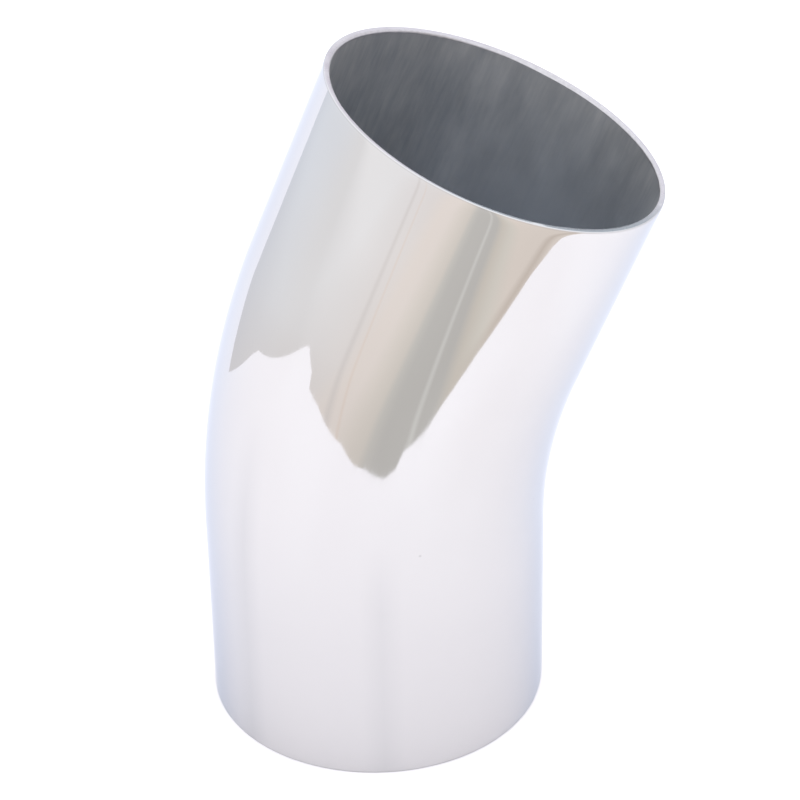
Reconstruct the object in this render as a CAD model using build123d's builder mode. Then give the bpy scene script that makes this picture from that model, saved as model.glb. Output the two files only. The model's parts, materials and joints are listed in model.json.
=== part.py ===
from build123d import *
import math
import os

# Flue elbow: one length of round steel tube, bent once over a mandrel and cut
# square at both ends. Both ends are plain spigots with no collar or bead.
#
# Frame: the origin is the centre of the lower mouth, +Z runs up the lower leg
# and the bend leans towards +X. The elbow is the same on both sides of the XZ
# plane. Lengths are in millimetres and angles in degrees.

# Tube stock
outer_dia = 80.0
wall = 1.5

# Bend, measured on the tube's centreline
bend_angle = 22.0
bend_radius = 150.0

# Straight legs, from each mouth to the start of the bend
lower_leg = 47.4
upper_leg = 47.4

# Cut ends: deburring chamfer inside, light round outside
bore_chamfer = 0.45
rim_round = 0.2

outer_r = outer_dia / 2
bore_r = outer_r - wall

# The upper leg's direction, leaning from +Z towards +X
lean = math.radians(bend_angle)
upper_axis = Vector(math.sin(lean), 0, math.cos(lean))

os.makedirs("parts", exist_ok=True)

# elbow_tube: the bent tube. The wall's ring section follows the centreline up
# the lower leg, round the bend and along the upper leg.
with BuildPart() as elbow_tube:
    with BuildLine(Plane.XZ) as centreline:
        lower = Line((0, 0), (0, lower_leg))
        bend = JernArc(lower @ 1, lower % 1, bend_radius, -bend_angle)
        upper = PolarLine(bend @ 1, upper_leg, direction=bend % 1)
    with BuildSketch(Plane.XY) as tube_section:
        Circle(outer_r)
        Circle(bore_r, mode=Mode.SUBTRACT)
    sweep(path=centreline.wires()[0])

    mouths = elbow_tube.faces().filter_by(GeomType.PLANE)
    bore_edges = [mouth.inner_wires()[0].edges()[0] for mouth in mouths]
    chamfer(bore_edges, bore_chamfer)

    mouths = elbow_tube.faces().filter_by(GeomType.PLANE)
    rim_edges = [mouth.outer_wire().edges()[0] for mouth in mouths]
    fillet(rim_edges, rim_round)

elbow_tube.part.label = "elbow_tube"
export_step(elbow_tube.part, "parts/elbow_tube.step")

# Where the upper mouth came out, for reading off the upper mounts
upper_mouth = elbow_tube.faces().filter_by(GeomType.PLANE).sort_by(Axis.Z)[-1]
upper_centre = upper_mouth.center(CenterOf.MASS)
box = elbow_tube.part.bounding_box()
print(f"upper mouth centre {upper_centre.X:.4f} {upper_centre.Y:.4f} {upper_centre.Z:.4f} mm")
print(f"upper axis {upper_axis.X:.6f} {upper_axis.Y:.6f} {upper_axis.Z:.6f}")
print(f"box {box.min.X:.3f} {box.min.Y:.3f} {box.min.Z:.3f} to {box.max.X:.3f} {box.max.Y:.3f} {box.max.Z:.3f} mm")
print(f"volume {elbow_tube.part.volume:.1f} mm3")
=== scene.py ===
import json
import math

import bpy
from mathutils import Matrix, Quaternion, Vector


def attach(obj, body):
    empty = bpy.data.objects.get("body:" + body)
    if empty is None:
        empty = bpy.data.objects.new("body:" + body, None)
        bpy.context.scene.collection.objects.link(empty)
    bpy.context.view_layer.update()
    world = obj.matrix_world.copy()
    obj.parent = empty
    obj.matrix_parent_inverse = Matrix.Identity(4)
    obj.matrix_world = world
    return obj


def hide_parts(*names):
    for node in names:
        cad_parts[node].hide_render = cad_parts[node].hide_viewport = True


MM = 0.001

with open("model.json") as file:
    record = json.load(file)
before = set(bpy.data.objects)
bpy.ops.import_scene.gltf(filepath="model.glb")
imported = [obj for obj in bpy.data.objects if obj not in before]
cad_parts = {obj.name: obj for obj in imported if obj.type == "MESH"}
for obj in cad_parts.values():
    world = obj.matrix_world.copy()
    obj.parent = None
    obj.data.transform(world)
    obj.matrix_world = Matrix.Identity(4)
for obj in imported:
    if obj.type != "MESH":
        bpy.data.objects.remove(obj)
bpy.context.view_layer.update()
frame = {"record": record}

# ---------------------------------------------------------------- sizes, read from the record's mounts

mounts = {m["name"]: m for m in frame["record"]["mounts"]}


def mount_mm(name, key):
    return mounts[name]["dims"][key] * MM


OUTER_R = mount_mm("lower_spigot", "r_mm")
BORE_R = mount_mm("lower_bore", "r_mm")
# the spigot's wall starts where the rim's round ends, so its height is the size of that round
RIM_ROUND = mounts["lower_spigot"]["pos_m"][2]
LEG = mount_mm("lower_spigot", "length_mm") + RIM_ROUND

UPPER_AXIS = Vector(mounts["upper_spigot"]["axis"])
LEAN = math.atan2(UPPER_AXIS.x, UPPER_AXIS.z)
UPPER_MOUTH = Vector(mounts["upper_rim"]["pos_m"])
BEND_R = (UPPER_MOUTH.x - LEG * math.sin(LEAN)) / (1 - math.cos(LEAN))
BEND_LENGTH = BEND_R * LEAN
TUBE_LENGTH = LEG + BEND_LENGTH + LEG


# ---------------------------------------------------------------- the tube's mesh

AROUND = 256  # faces round the tube
LEG_STEPS = 20
LEG_CROWDING = 2.4  # how strongly a leg's rings crowd towards its cut end
BEND_STEPS = 40
ROUND_STEPS = 4

# The small break at each edge between the outside, the cut face, the chamfer and the bore
CORNER = 0.02 * MM

# The buffing wheel rolled the outer wall in at each cut end: by how much, how fast that fades,
# and the angle round the tube where it pressed hardest
ROLL_IN = 0.28 * MM
ROLL_REACH = 0.7 * MM
ROLL_HARDEST = math.radians(-10)

# How far inside the mouth the deburring tool brightened the bore
BRIGHT_DEPTH = 0.85 * MM

# The deburring chamfer was cut by hand, so its width varies round the mouth, as (degrees, mm)
DEBURR_WIDTH = (
    (-180, 0.25), (-150, 0.45), (-105, 0.75), (-80, 0.55), (-62, 0.06), (-20, 0.06),
    (10, 0.3), (50, 0.6), (70, 0.75), (92, 0.4), (115, 0.15), (145, 0.35), (180, 0.25),
)

POLISHED, BORE, CUT, DEBURRED = range(4)  # material slots of the tube


def centreline(along):
    """The centreline's point and its lean from +Z, at a distance along it from the lower mouth."""
    if along <= LEG:
        return Vector((0, 0, along)), 0.0
    lean = min((along - LEG) / BEND_R, LEAN)
    point = Vector((BEND_R * (1 - math.cos(lean)), 0, LEG + BEND_R * math.sin(lean)))
    past = max(along - LEG - BEND_LENGTH, 0.0)
    return point + Vector((math.sin(lean), 0, math.cos(lean))) * past, lean


def place(along, radius, angle):
    """A point of the tube at a distance along it, a radius, and an angle round it from the +X side."""
    point, lean = centreline(along)
    outward = Vector((math.cos(lean), 0, -math.sin(lean)))
    return point + radius * (math.cos(angle) * outward + math.sin(angle) * Vector((0, 1, 0)))


def rolled_in(depth, angle):
    """How far the outer wall is rolled in at a depth from the cut face."""
    pressure = (0.5 + 0.5 * math.cos(angle - ROLL_HARDEST)) ** 2
    return ROLL_IN * pressure * math.exp(-depth / ROLL_REACH)


def deburr_width(angle):
    """The chamfer's width at an angle round the mouth, eased between the listed places."""
    degrees = (math.degrees(angle) + 180) % 360 - 180
    for (start, near), (end, far) in zip(DEBURR_WIDTH, DEBURR_WIDTH[1:]):
        if degrees <= end:
            part = (degrees - start) / (end - start)
            return (near + (far - near) * (1 - math.cos(math.pi * part)) / 2) * MM
    return DEBURR_WIDTH[-1][1] * MM


def leg_stations(edge):
    """Where a leg's rings lie, from its edge treatment to the bend: close together at the cut end."""
    return [edge + (LEG - edge) * (i / LEG_STEPS) ** LEG_CROWDING for i in range(LEG_STEPS)]


def wall_stations(edge):
    """Where the rings of a wall lie, from one end's edge treatment to the other's."""
    bend = [LEG + BEND_LENGTH * i / BEND_STEPS for i in range(BEND_STEPS)]
    upper = [TUBE_LENGTH - s for s in reversed(leg_stations(edge))]
    return leg_stations(edge) + bend + [TUBE_LENGTH - LEG] + upper


def rim_profile():
    """One end's edge from the outer wall to the bore, as (depth, radius, slot, deeper, wider).

    Deeper and wider are the shares of the chamfer's width that are added to the depth and the radius.
    """
    profile = []
    for i in range(ROUND_STEPS + 1):
        turn = math.pi / 2 * i / ROUND_STEPS
        depth = RIM_ROUND * (1 - math.sin(turn))
        profile.append((depth, OUTER_R - RIM_ROUND * (1 - math.cos(turn)), POLISHED, 0, 0))
    profile.append((0.0, OUTER_R - RIM_ROUND - ROLL_IN - CORNER, CUT, 0, 0))
    profile.append((0.0, BORE_R + CORNER, CUT, 0, 1))
    profile.append((CORNER, BORE_R, DEBURRED, 0, 1))
    profile.append((0.0, BORE_R + CORNER, DEBURRED, 1, 0))
    profile.append((CORNER, BORE_R, DEBURRED, 1, 0))
    return profile


def tube_rings():
    """Every ring of the closed tube wall, as (distance along, radius, slot, deeper, wider)."""
    rim = rim_profile()
    rings = [(s, OUTER_R, POLISHED, 0, 0) for s in wall_stations(RIM_ROUND)[1:-1]]
    rings += [(TUBE_LENGTH - d, r, slot, -deeper, wider) for d, r, slot, deeper, wider in rim]
    rings += [(s, BORE_R, BORE, 0, 0) for s in reversed(wall_stations(BRIGHT_DEPTH))]
    rings += list(reversed(rim))
    return rings


def build_tube():
    rings = tube_rings()
    verts, unbent = [], []
    for along, radius, slot, deeper, wider in rings:
        for i in range(AROUND):
            angle = 2 * math.pi * i / AROUND
            chamfer = deburr_width(angle)
            s = along + deeper * chamfer
            r = radius + wider * chamfer
            if slot == POLISHED:
                r -= rolled_in(min(s, TUBE_LENGTH - s), angle)
            verts.append(place(s, r, angle))
            unbent.extend((r * math.cos(angle), r * math.sin(angle), s))
    faces, slots = [], []
    for k, ring in enumerate(rings):
        after = (k + 1) % len(rings)
        for i in range(AROUND):
            j = (i + 1) % AROUND
            faces.append((k * AROUND + i, k * AROUND + j, after * AROUND + j, after * AROUND + i))
            # between two slots the later one wins, so the cut and the deburring reach to their edges
            slots.append(max(ring[2], rings[after][2]))
    mesh = bpy.data.meshes.new("bent_tube")
    mesh.from_pydata(verts, [], faces)
    mesh.polygons.foreach_set("material_index", slots)
    mesh.polygons.foreach_set("use_smooth", [True] * len(faces))
    straight = mesh.attributes.new("unbent", "FLOAT_VECTOR", "POINT")
    straight.data.foreach_set("vector", unbent)
    mesh.validate()
    piece = bpy.data.objects.new("bent_tube", mesh)
    bpy.context.scene.collection.objects.link(piece)
    return piece


# ---------------------------------------------------------------- node helpers


def colour_stops(node, stops):
    """Fills a colour ramp with stops of (value, colour), from its start to its end."""
    low, high = stops[0][0], stops[-1][0]
    elements = node.color_ramp.elements
    elements.remove(elements[1])
    elements[0].position = 0.0
    elements[0].color = (*stops[0][1], 1.0)
    for at, colour in stops[1:]:
        element = elements.new((at - low) / (high - low))
        element.color = (*colour, 1.0)


class Nodes:
    """A short way to write a material's node tree."""

    def __init__(self, name):
        self.material = bpy.data.materials.new(name)
        self.material.use_nodes = True
        self.tree = self.material.node_tree
        self.tree.nodes.clear()
        self.out = self.add("ShaderNodeOutputMaterial")

    def add(self, kind, **settings):
        node = self.tree.nodes.new(kind)
        for key, value in settings.items():
            setattr(node, key, value)
        return node

    def wire(self, source, target):
        self.tree.links.new(source, target)

    def surface(self, shader):
        self.wire(shader.outputs[0], self.out.inputs["Surface"])

    def unbent(self, scale=(1, 1, 1)):
        """The tube's coordinates as if it were straight, in metres, scaled along each axis."""
        attribute = self.add("ShaderNodeAttribute", attribute_name="unbent")
        mapping = self.add("ShaderNodeMapping")
        mapping.inputs["Scale"].default_value = scale
        self.wire(attribute.outputs["Vector"], mapping.inputs["Vector"])
        return mapping.outputs["Vector"]

    def noise(self, vector, detail, roughness=0.5):
        node = self.add("ShaderNodeTexNoise")
        node.inputs["Scale"].default_value = 1.0
        node.inputs["Detail"].default_value = detail
        node.inputs["Roughness"].default_value = roughness
        self.wire(vector, node.inputs["Vector"])
        return node.outputs["Fac"]

    def spread(self, value, low, high, to_low, to_high):
        """Maps low..high of a value to to_low..to_high, and clamps it."""
        node = self.add("ShaderNodeMapRange")
        node.inputs["From Min"].default_value = low
        node.inputs["From Max"].default_value = high
        node.inputs["To Min"].default_value = to_low
        node.inputs["To Max"].default_value = to_high
        self.wire(value, node.inputs["Value"])
        return node.outputs["Result"]

    def stretched(self, noise):
        """A noise with the range where most of it lies stretched over 0..1."""
        return self.spread(noise, 0.35, 0.65, 0.0, 1.0)

    def math(self, operation, first, second=0.0):
        node = self.add("ShaderNodeMath", operation=operation)
        for socket, value in zip(node.inputs, (first, second)):
            if isinstance(value, float):
                socket.default_value = value
            else:
                self.wire(value, socket)
        return node.outputs[0]

    def mix(self, factor, first, second):
        """A colour between two colours, each a tuple or a socket."""
        node = self.add("ShaderNodeMix", data_type="RGBA")
        self.wire(factor, node.inputs["Factor"])
        for socket, value in zip((node.inputs[6], node.inputs[7]), (first, second)):
            if isinstance(value, tuple):
                socket.default_value = (*value, 1.0)
            else:
                self.wire(value, socket)
        return node.outputs[2]

    def ramp(self, value, stops):
        """A colour that runs through stops of (value, colour)."""
        node = self.add("ShaderNodeValToRGB")
        colour_stops(node, stops)
        self.wire(self.spread(value, stops[0][0], stops[-1][0], 0.0, 1.0), node.inputs["Fac"])
        return node.outputs["Color"]

    def dot(self, vector, direction):
        node = self.add("ShaderNodeVectorMath", operation="DOT_PRODUCT")
        self.wire(vector, node.inputs[0])
        node.inputs[1].default_value = direction
        return node.outputs["Value"]

    def near_line(self, vector, start, end, half_width):
        """1 on the flat line through two points and 0 beyond half_width from it, fading between."""
        a, b = Vector((*start, 0)), Vector((*end, 0))
        across = (b - a).cross(Vector((0, 0, 1))).normalized()
        offset = self.math("SUBTRACT", self.dot(vector, across), across.dot(a))
        return self.spread(self.math("ABSOLUTE", offset), 0.0, half_width, 1.0, 0.0)

    def dark_streak(self, angle, reach):
        """1 along a lengthwise streak at an angle round the tube, in degrees, up to a reach along it."""
        turn = math.radians(angle)
        straight = self.unbent()
        aside = self.math("ABSOLUTE", self.dot(straight, (-math.sin(turn), math.cos(turn), 0)))
        facing = self.dot(straight, (math.cos(turn), math.sin(turn), 0))
        along = self.dot(straight, (0, 0, 1))
        streak = self.spread(aside, 0.0, STREAK_HALF_WIDTH, 1.0, 0.0)
        streak = self.math("MULTIPLY", streak, self.spread(facing, 0.0, 10 * MM, 0.0, 1.0))
        return self.math("MULTIPLY", streak, self.spread(along, reach * 0.7, reach, 1.0, 0.0))

    def bump(self, height, distance, over=None):
        node = self.add("ShaderNodeBump")
        node.inputs["Strength"].default_value = 1.0
        node.inputs["Distance"].default_value = distance
        self.wire(height, node.inputs["Height"])
        if over:
            self.wire(over, node.inputs["Normal"])
        return node.outputs["Normal"]

    def metal(self, colour, roughness, normal, edge_tint=(1.0, 1.0, 1.0)):
        node = self.add("ShaderNodeBsdfPrincipled")
        node.inputs["Metallic"].default_value = 1.0
        node.inputs["Specular Tint"].default_value = (*edge_tint, 1.0)
        self.wire(colour, node.inputs["Base Color"])
        self.wire(roughness, node.inputs["Roughness"])
        self.wire(normal, node.inputs["Normal"])
        self.surface(node)
        return self.material


# ---------------------------------------------------------------- the tube's materials

# How fine each pattern is, in features per metre, twice across the tube and then along it
BUFFING_LINES = (1500, 1500, 14)
POLISH_HAZE = (38, 38, 16)
WALL_RIPPLE = (55, 55, 20)
PINHOLES = (60, 60, 60)
DRAWING_MARKS = (900, 900, 110)
SCALE_CLOUDS = (150, 150, 70)
FACING_GRAIN = (1800, 1800, 1800)
CUT_PATCHES = (160, 160, 160)
CHATTER = (900, 900, 900)

# How deep the fine relief is
RIPPLE_DEPTH = 0.02 * MM
BUFFING_DEPTH = 0.0004 * MM
DRAWING_DEPTH = 0.004 * MM
CUTTING_DEPTH = 0.02 * MM

# Darker streaks on the polish, the one facing the front a painted reflection of a shadow on the floor, as
# (degrees round the tube, reach in metres from the lower end, colour)
STREAK_HALF_WIDTH = 5 * MM
DARK_STREAKS = (
    (-135.5, 0.085, (0.56, 0.555, 0.56)),
    (-85.5, 0.065, (0.565, 0.56, 0.565)),
)


def polished_outside():
    """Mirror-polished steel: lengthwise buffing lines, a faint haze, darker streaks, duller cut ends,
    painted shade near the foot and a few pinholes.
    """
    n = Nodes("polished_steel")
    lines = n.noise(n.unbent(BUFFING_LINES), detail=3.0)
    haze = n.noise(n.unbent(POLISH_HAZE), detail=2.0)
    ripple = n.noise(n.unbent(WALL_RIPPLE), detail=1.0)
    colour = n.mix(n.stretched(haze), (0.62, 0.61, 0.605), (0.65, 0.645, 0.64))
    # painted shade: darker towards the lower end, where the tube mirrors the floor shaded round its foot
    along = n.dot(n.unbent(), (0, 0, 1))
    colour = n.mix(n.spread(along, 0.035, 0.1, 1.0, 0.0), colour, (0.6, 0.592, 0.595))
    # painted reflection of shade: the streak facing the front darkens the polish where it mirrors a shadow
    # on the floor; the other is only darker
    for angle, reach, streak_colour in DARK_STREAKS:
        colour = n.mix(n.dark_streak(angle, reach), colour, streak_colour)
    # the last half millimetre before each cut face is duller still
    half = TUBE_LENGTH / 2
    from_middle = n.math("ABSOLUTE", n.math("SUBTRACT", along, half))
    at_end = n.spread(from_middle, half - 0.5 * MM, half - 0.1 * MM, 0.0, 1.0)
    colour = n.mix(at_end, colour, (0.52, 0.515, 0.52))
    pinholes = n.add("ShaderNodeTexVoronoi")
    pinholes.inputs["Scale"].default_value = 1.0
    n.wire(n.unbent(PINHOLES), pinholes.inputs["Vector"])
    in_hole = n.spread(pinholes.outputs["Distance"], 0.012, 0.024, 0.45, 0.0)
    colour = n.mix(in_hole, colour, (0.3, 0.29, 0.29))
    roughness = n.math(
        "ADD",
        n.spread(lines, 0.3, 0.7, 0.02, 0.05),
        n.spread(haze, 0.4, 0.7, 0.0, 0.02),
    )
    normal = n.bump(ripple, RIPPLE_DEPTH)
    normal = n.bump(lines, BUFFING_DEPTH, over=normal)
    return n.metal(colour, roughness, normal, edge_tint=(0.74, 0.79, 0.87))


def drawn_bore():
    """The unpolished bore: dull grey, with fine lengthwise drawing marks and cloudy scale."""
    n = Nodes("drawn_bore")
    marks = n.noise(n.unbent(DRAWING_MARKS), detail=4.0, roughness=0.6)
    clouds = n.noise(n.unbent(SCALE_CLOUDS), detail=4.0, roughness=0.6)
    shade = n.math("ADD", n.math("MULTIPLY", marks, 0.5), n.math("MULTIPLY", clouds, 0.5))
    colour = n.mix(n.stretched(shade), (0.45, 0.46, 0.475), (0.61, 0.605, 0.6))
    # painted light: the bore is lighter and bluer on its +X side, away from the upper mouth, where light
    # falling in through the mouth brightens it
    along = n.dot(n.unbent(), (0, 0, 1))
    to_the_right = n.dot(n.unbent(), (1, 0, 0))
    painted_bore_light = n.math(
        "MULTIPLY",
        n.spread(along, 0.115, 0.155, 1.0, 0.0),
        n.spread(to_the_right, -0.015, 0.025, 0.0, 1.0),
    )
    colour = n.mix(painted_bore_light, colour, (0.78, 0.84, 0.93))
    roughness = n.spread(clouds, 0.3, 0.7, 0.44, 0.5)
    return n.metal(colour, roughness, n.bump(marks, DRAWING_DEPTH))


def cut_rim():
    """The cut face of the wall: satin, with the fine grain of the facing tool."""
    n = Nodes("cut_rim")
    grain = n.noise(n.unbent(FACING_GRAIN), detail=3.0)
    patches = n.noise(n.unbent(CUT_PATCHES), detail=2.0)
    colour = n.mix(n.stretched(patches), (0.42, 0.4, 0.44), (0.48, 0.465, 0.5))
    # the front of the cut, a little to the right, was left rougher by the saw
    sawn = n.spread(n.dot(n.unbent(), (0.42, -0.91, 0)), 0.02, 0.034, 0.0, 1.0)
    # painted glints: bright specks in the colour of the sawn part
    painted_glints = n.spread(patches, 0.6, 0.68, 0.0, 1.0)
    colour = n.mix(sawn, colour, n.mix(painted_glints, (0.24, 0.27, 0.3), (0.5, 0.52, 0.54)))
    roughness = n.spread(grain, 0.3, 0.7, 0.25, 0.42)
    return n.metal(colour, roughness, n.bump(grain, CUTTING_DEPTH))


def deburred_edge():
    """The chamfer inside each mouth: freshly cut and brighter, with chatter."""
    n = Nodes("deburred_edge")
    chatter = n.noise(n.unbent(CHATTER), detail=3.0)
    colour = n.mix(n.stretched(chatter), (0.42, 0.41, 0.43), (0.5, 0.49, 0.51))
    roughness = n.spread(chatter, 0.3, 0.7, 0.3, 0.45)
    return n.metal(colour, roughness, n.bump(chatter, CUTTING_DEPTH))


# ---------------------------------------------------------------- the studio

FLOOR_REACH = 20000  # mm, from the middle to each side

# The paper's edge as the steel mirrors it, in mm: from the right front corner, round the left end,
# to the back
PAPER_EDGE = (
    (330, -138), (150, -140), (125, -153), (80, -158), (45, -156), (20, -165), (14, -160), (0, -162),
    (-35, -177), (-60, -183), (-105, -200), (-235, -220), (-320, -220), (-380, -245), (-545, -267),
    (-575, -255), (-570, -215), (-485, 15), (-465, 65), (-415, 88), (-230, 136), (-300, 210), (-655, 625),
)
BENCH_FAR = ((-9000, 10400), (-19900, 19900), (-19900, -19900), (800, -19900), (800, -138))
BENCH_LIFT = 0.6 * MM  # above the floor, so that the two sheets don't touch

# The bench's colour from left to right, as (x in metres, colour): cool, warm, a soft shadow, warm
BENCH_COLOURS = (
    (-0.9, (0.91, 0.905, 0.925)), (-0.5, (0.86, 0.835, 0.84)),
    (-0.3, (0.85, 0.81, 0.8)), (-0.2, (0.88, 0.81, 0.77)), (-0.14, (0.88, 0.81, 0.77)),
    (-0.1, (0.83, 0.77, 0.72)), (-0.055, (0.76, 0.71, 0.66)), (-0.04, (0.66, 0.64, 0.61)),
    (-0.02, (0.605, 0.59, 0.57)), (0.045, (0.605, 0.59, 0.57)), (0.06, (0.72, 0.67, 0.61)),
    (0.08, (0.79, 0.75, 0.69)), (0.1, (0.86, 0.78, 0.72)),
)

# Lines on the bench, as (start, end, half width, strength, colour), in metres: a pale strip down the
# shadow, the gap between two boards and the seam beside it
BENCH_LINES = (
    ((0.0255, -0.18), (0.0255, -0.33), 0.006, 1.0, (0.73, 0.72, 0.7)),
    ((-0.19, -0.225), (-0.505, -0.56), 0.018, 0.6, (0.72, 0.68, 0.67)),
    ((-0.124, -0.202), (-0.257, -0.362), 0.006, 0.6, (0.84, 0.71, 0.63)),
)

# The bench's brightness just in front of the paper and farther away
BENCH_GLOW_NEAR = 1.2125
BENCH_GLOW_FAR = 1.35

# The room's light by height above the horizon, as (sine of the elevation, colour)
SKY_COLOURS = (
    (0.0, (0.68, 0.68, 0.7)), (0.2, (0.7, 0.7, 0.72)), (0.42, (0.9, 0.91, 0.94)), (1.0, (0.96, 0.975, 1.0)),
)
SKY_STRENGTH = 1.75

# One large soft lamp, above and to the right, aimed at the foot of the tube
LAMP_PLACE = Vector((1.6, -0.4, 1.6))
LAMP_SIZE = 3.0
LAMP_WATTS = 4


def flat_shape(name, outline_mm, height, material):
    """A flat horizontal sheet with a given outline."""
    mesh = bpy.data.meshes.new(name)
    verts = [Vector((x * MM, y * MM, height)) for x, y in outline_mm]
    mesh.from_pydata(verts, [], [tuple(range(len(verts)))])
    mesh.materials.append(material)
    sheet = bpy.data.objects.new(name, mesh)
    bpy.context.scene.collection.objects.link(sheet)
    return sheet


def reflected_only(sheet):
    """The polished steel mirrors this sheet, and nothing else sees it."""
    sheet.visible_camera = False
    sheet.visible_diffuse = False
    sheet.visible_shadow = False


def floor_paper():
    """Plain pale paper."""
    n = Nodes("pale_floor")
    node = n.add("ShaderNodeBsdfPrincipled")
    node.inputs["Base Color"].default_value = (0.905, 0.88, 0.9, 1.0)
    node.inputs["Roughness"].default_value = 0.9
    node.inputs["Specular IOR Level"].default_value = 0.2
    n.surface(node)
    return n.material


def bench_surface():
    """The bench that the paper lies on: warm grey boards with a soft shadow, brighter with distance."""
    n = Nodes("bench")
    plan = n.add("ShaderNodeTexCoord").outputs["Object"]
    x = n.dot(plan, (1, 0, 0))
    y = n.dot(plan, (0, 1, 0))
    colour = n.ramp(x, BENCH_COLOURS)
    # cooler towards the back
    colour = n.mix(n.spread(y, -0.1, 0.5, 0.0, 0.6), colour, (0.88, 0.92, 1.0))
    for start, end, half_width, strength, line_colour in BENCH_LINES:
        line = n.near_line(plan, start, end, half_width)
        colour = n.mix(n.math("MULTIPLY", line, strength), colour, line_colour)
    # the paper's front edge lifts a little and shades the board along it
    under_edge = n.near_line(plan, (0.33, -0.158), (0.05, -0.163), 0.014)
    under_edge = n.math("MULTIPLY", under_edge, n.spread(x, 0.05, 0.1, 0.0, 0.8))
    colour = n.mix(under_edge, colour, (0.66, 0.58, 0.52))
    # painted light: the bench glows with this colour instead of being lit, so its soft shadow, the shade
    # under the paper's edge and its brightening with distance are all painted
    node = n.add("ShaderNodeEmission")
    n.wire(colour, node.inputs["Color"])
    glow = n.spread(y, -0.2, -0.45, BENCH_GLOW_NEAR, BENCH_GLOW_FAR)
    n.wire(glow, node.inputs["Strength"])
    n.surface(node)
    return n.material


def build_sky():
    """A white room: dimmer walls under a bright soft ceiling."""
    world = bpy.data.worlds.new("studio")
    bpy.context.scene.world = world
    world.use_nodes = True
    nodes, links = world.node_tree.nodes, world.node_tree.links
    direction = nodes.new("ShaderNodeTexCoord")
    parts = nodes.new("ShaderNodeSeparateXYZ")
    ramp = nodes.new("ShaderNodeValToRGB")
    colour_stops(ramp, SKY_COLOURS)
    links.new(direction.outputs["Generated"], parts.inputs["Vector"])
    links.new(parts.outputs["Z"], ramp.inputs["Fac"])
    links.new(ramp.outputs["Color"], nodes["Background"].inputs["Color"])
    nodes["Background"].inputs["Strength"].default_value = SKY_STRENGTH


def build_lamp():
    light = bpy.data.lights.new("overhead", "AREA")
    light.size = LAMP_SIZE
    light.energy = LAMP_WATTS
    lamp = bpy.data.objects.new("overhead", light)
    lamp.location = LAMP_PLACE
    lamp.visible_glossy = False
    lamp.rotation_mode = "QUATERNION"
    lamp.rotation_quaternion = (-LAMP_PLACE).to_track_quat("-Z", "Y")
    bpy.context.scene.collection.objects.link(lamp)


def build_studio():
    corners = [(x * FLOOR_REACH, y * FLOOR_REACH) for x, y in ((-1, -1), (1, -1), (1, 1), (-1, 1))]
    flat_shape("floor", corners, 0.0, floor_paper())
    reflected_only(flat_shape("bench", PAPER_EDGE + BENCH_FAR, BENCH_LIFT, bench_surface()))
    build_sky()
    build_lamp()


# ---------------------------------------------------------------- the camera

AIM = Vector((6.5, 0.0, 77.5)) * MM
DISTANCE = 624.7 * MM
AZIMUTH, ELEVATION, ROLL = 2.6, 31.96, 1.13  # degrees
LENS, SENSOR = 122.1, 36  # mm
CLIP_START = 10 * MM


def build_camera():
    a, e = math.radians(AZIMUTH), math.radians(ELEVATION)
    back = Vector((math.sin(a) * math.cos(e), -math.cos(a) * math.cos(e), math.sin(e)))
    data = bpy.data.cameras.new("camera")
    data.lens = LENS
    data.sensor_width = SENSOR
    data.clip_start = CLIP_START
    camera = bpy.data.objects.new("camera", data)
    camera.location = AIM + back * DISTANCE
    camera.rotation_mode = "QUATERNION"
    level = (-back).to_track_quat("-Z", "Y")
    camera.rotation_quaternion = level @ Quaternion((0, 0, 1), -math.radians(ROLL))
    bpy.context.scene.collection.objects.link(camera)
    bpy.context.scene.camera = camera


# ---------------------------------------------------------------- put it together

tube = build_tube()
for material in (polished_outside(), drawn_bore(), cut_rim(), deburred_edge()):
    tube.data.materials.append(material)
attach(tube, "root")
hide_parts("elbow_tube")

build_studio()
build_camera()
bpy.context.scene.view_settings.view_transform = "Standard"
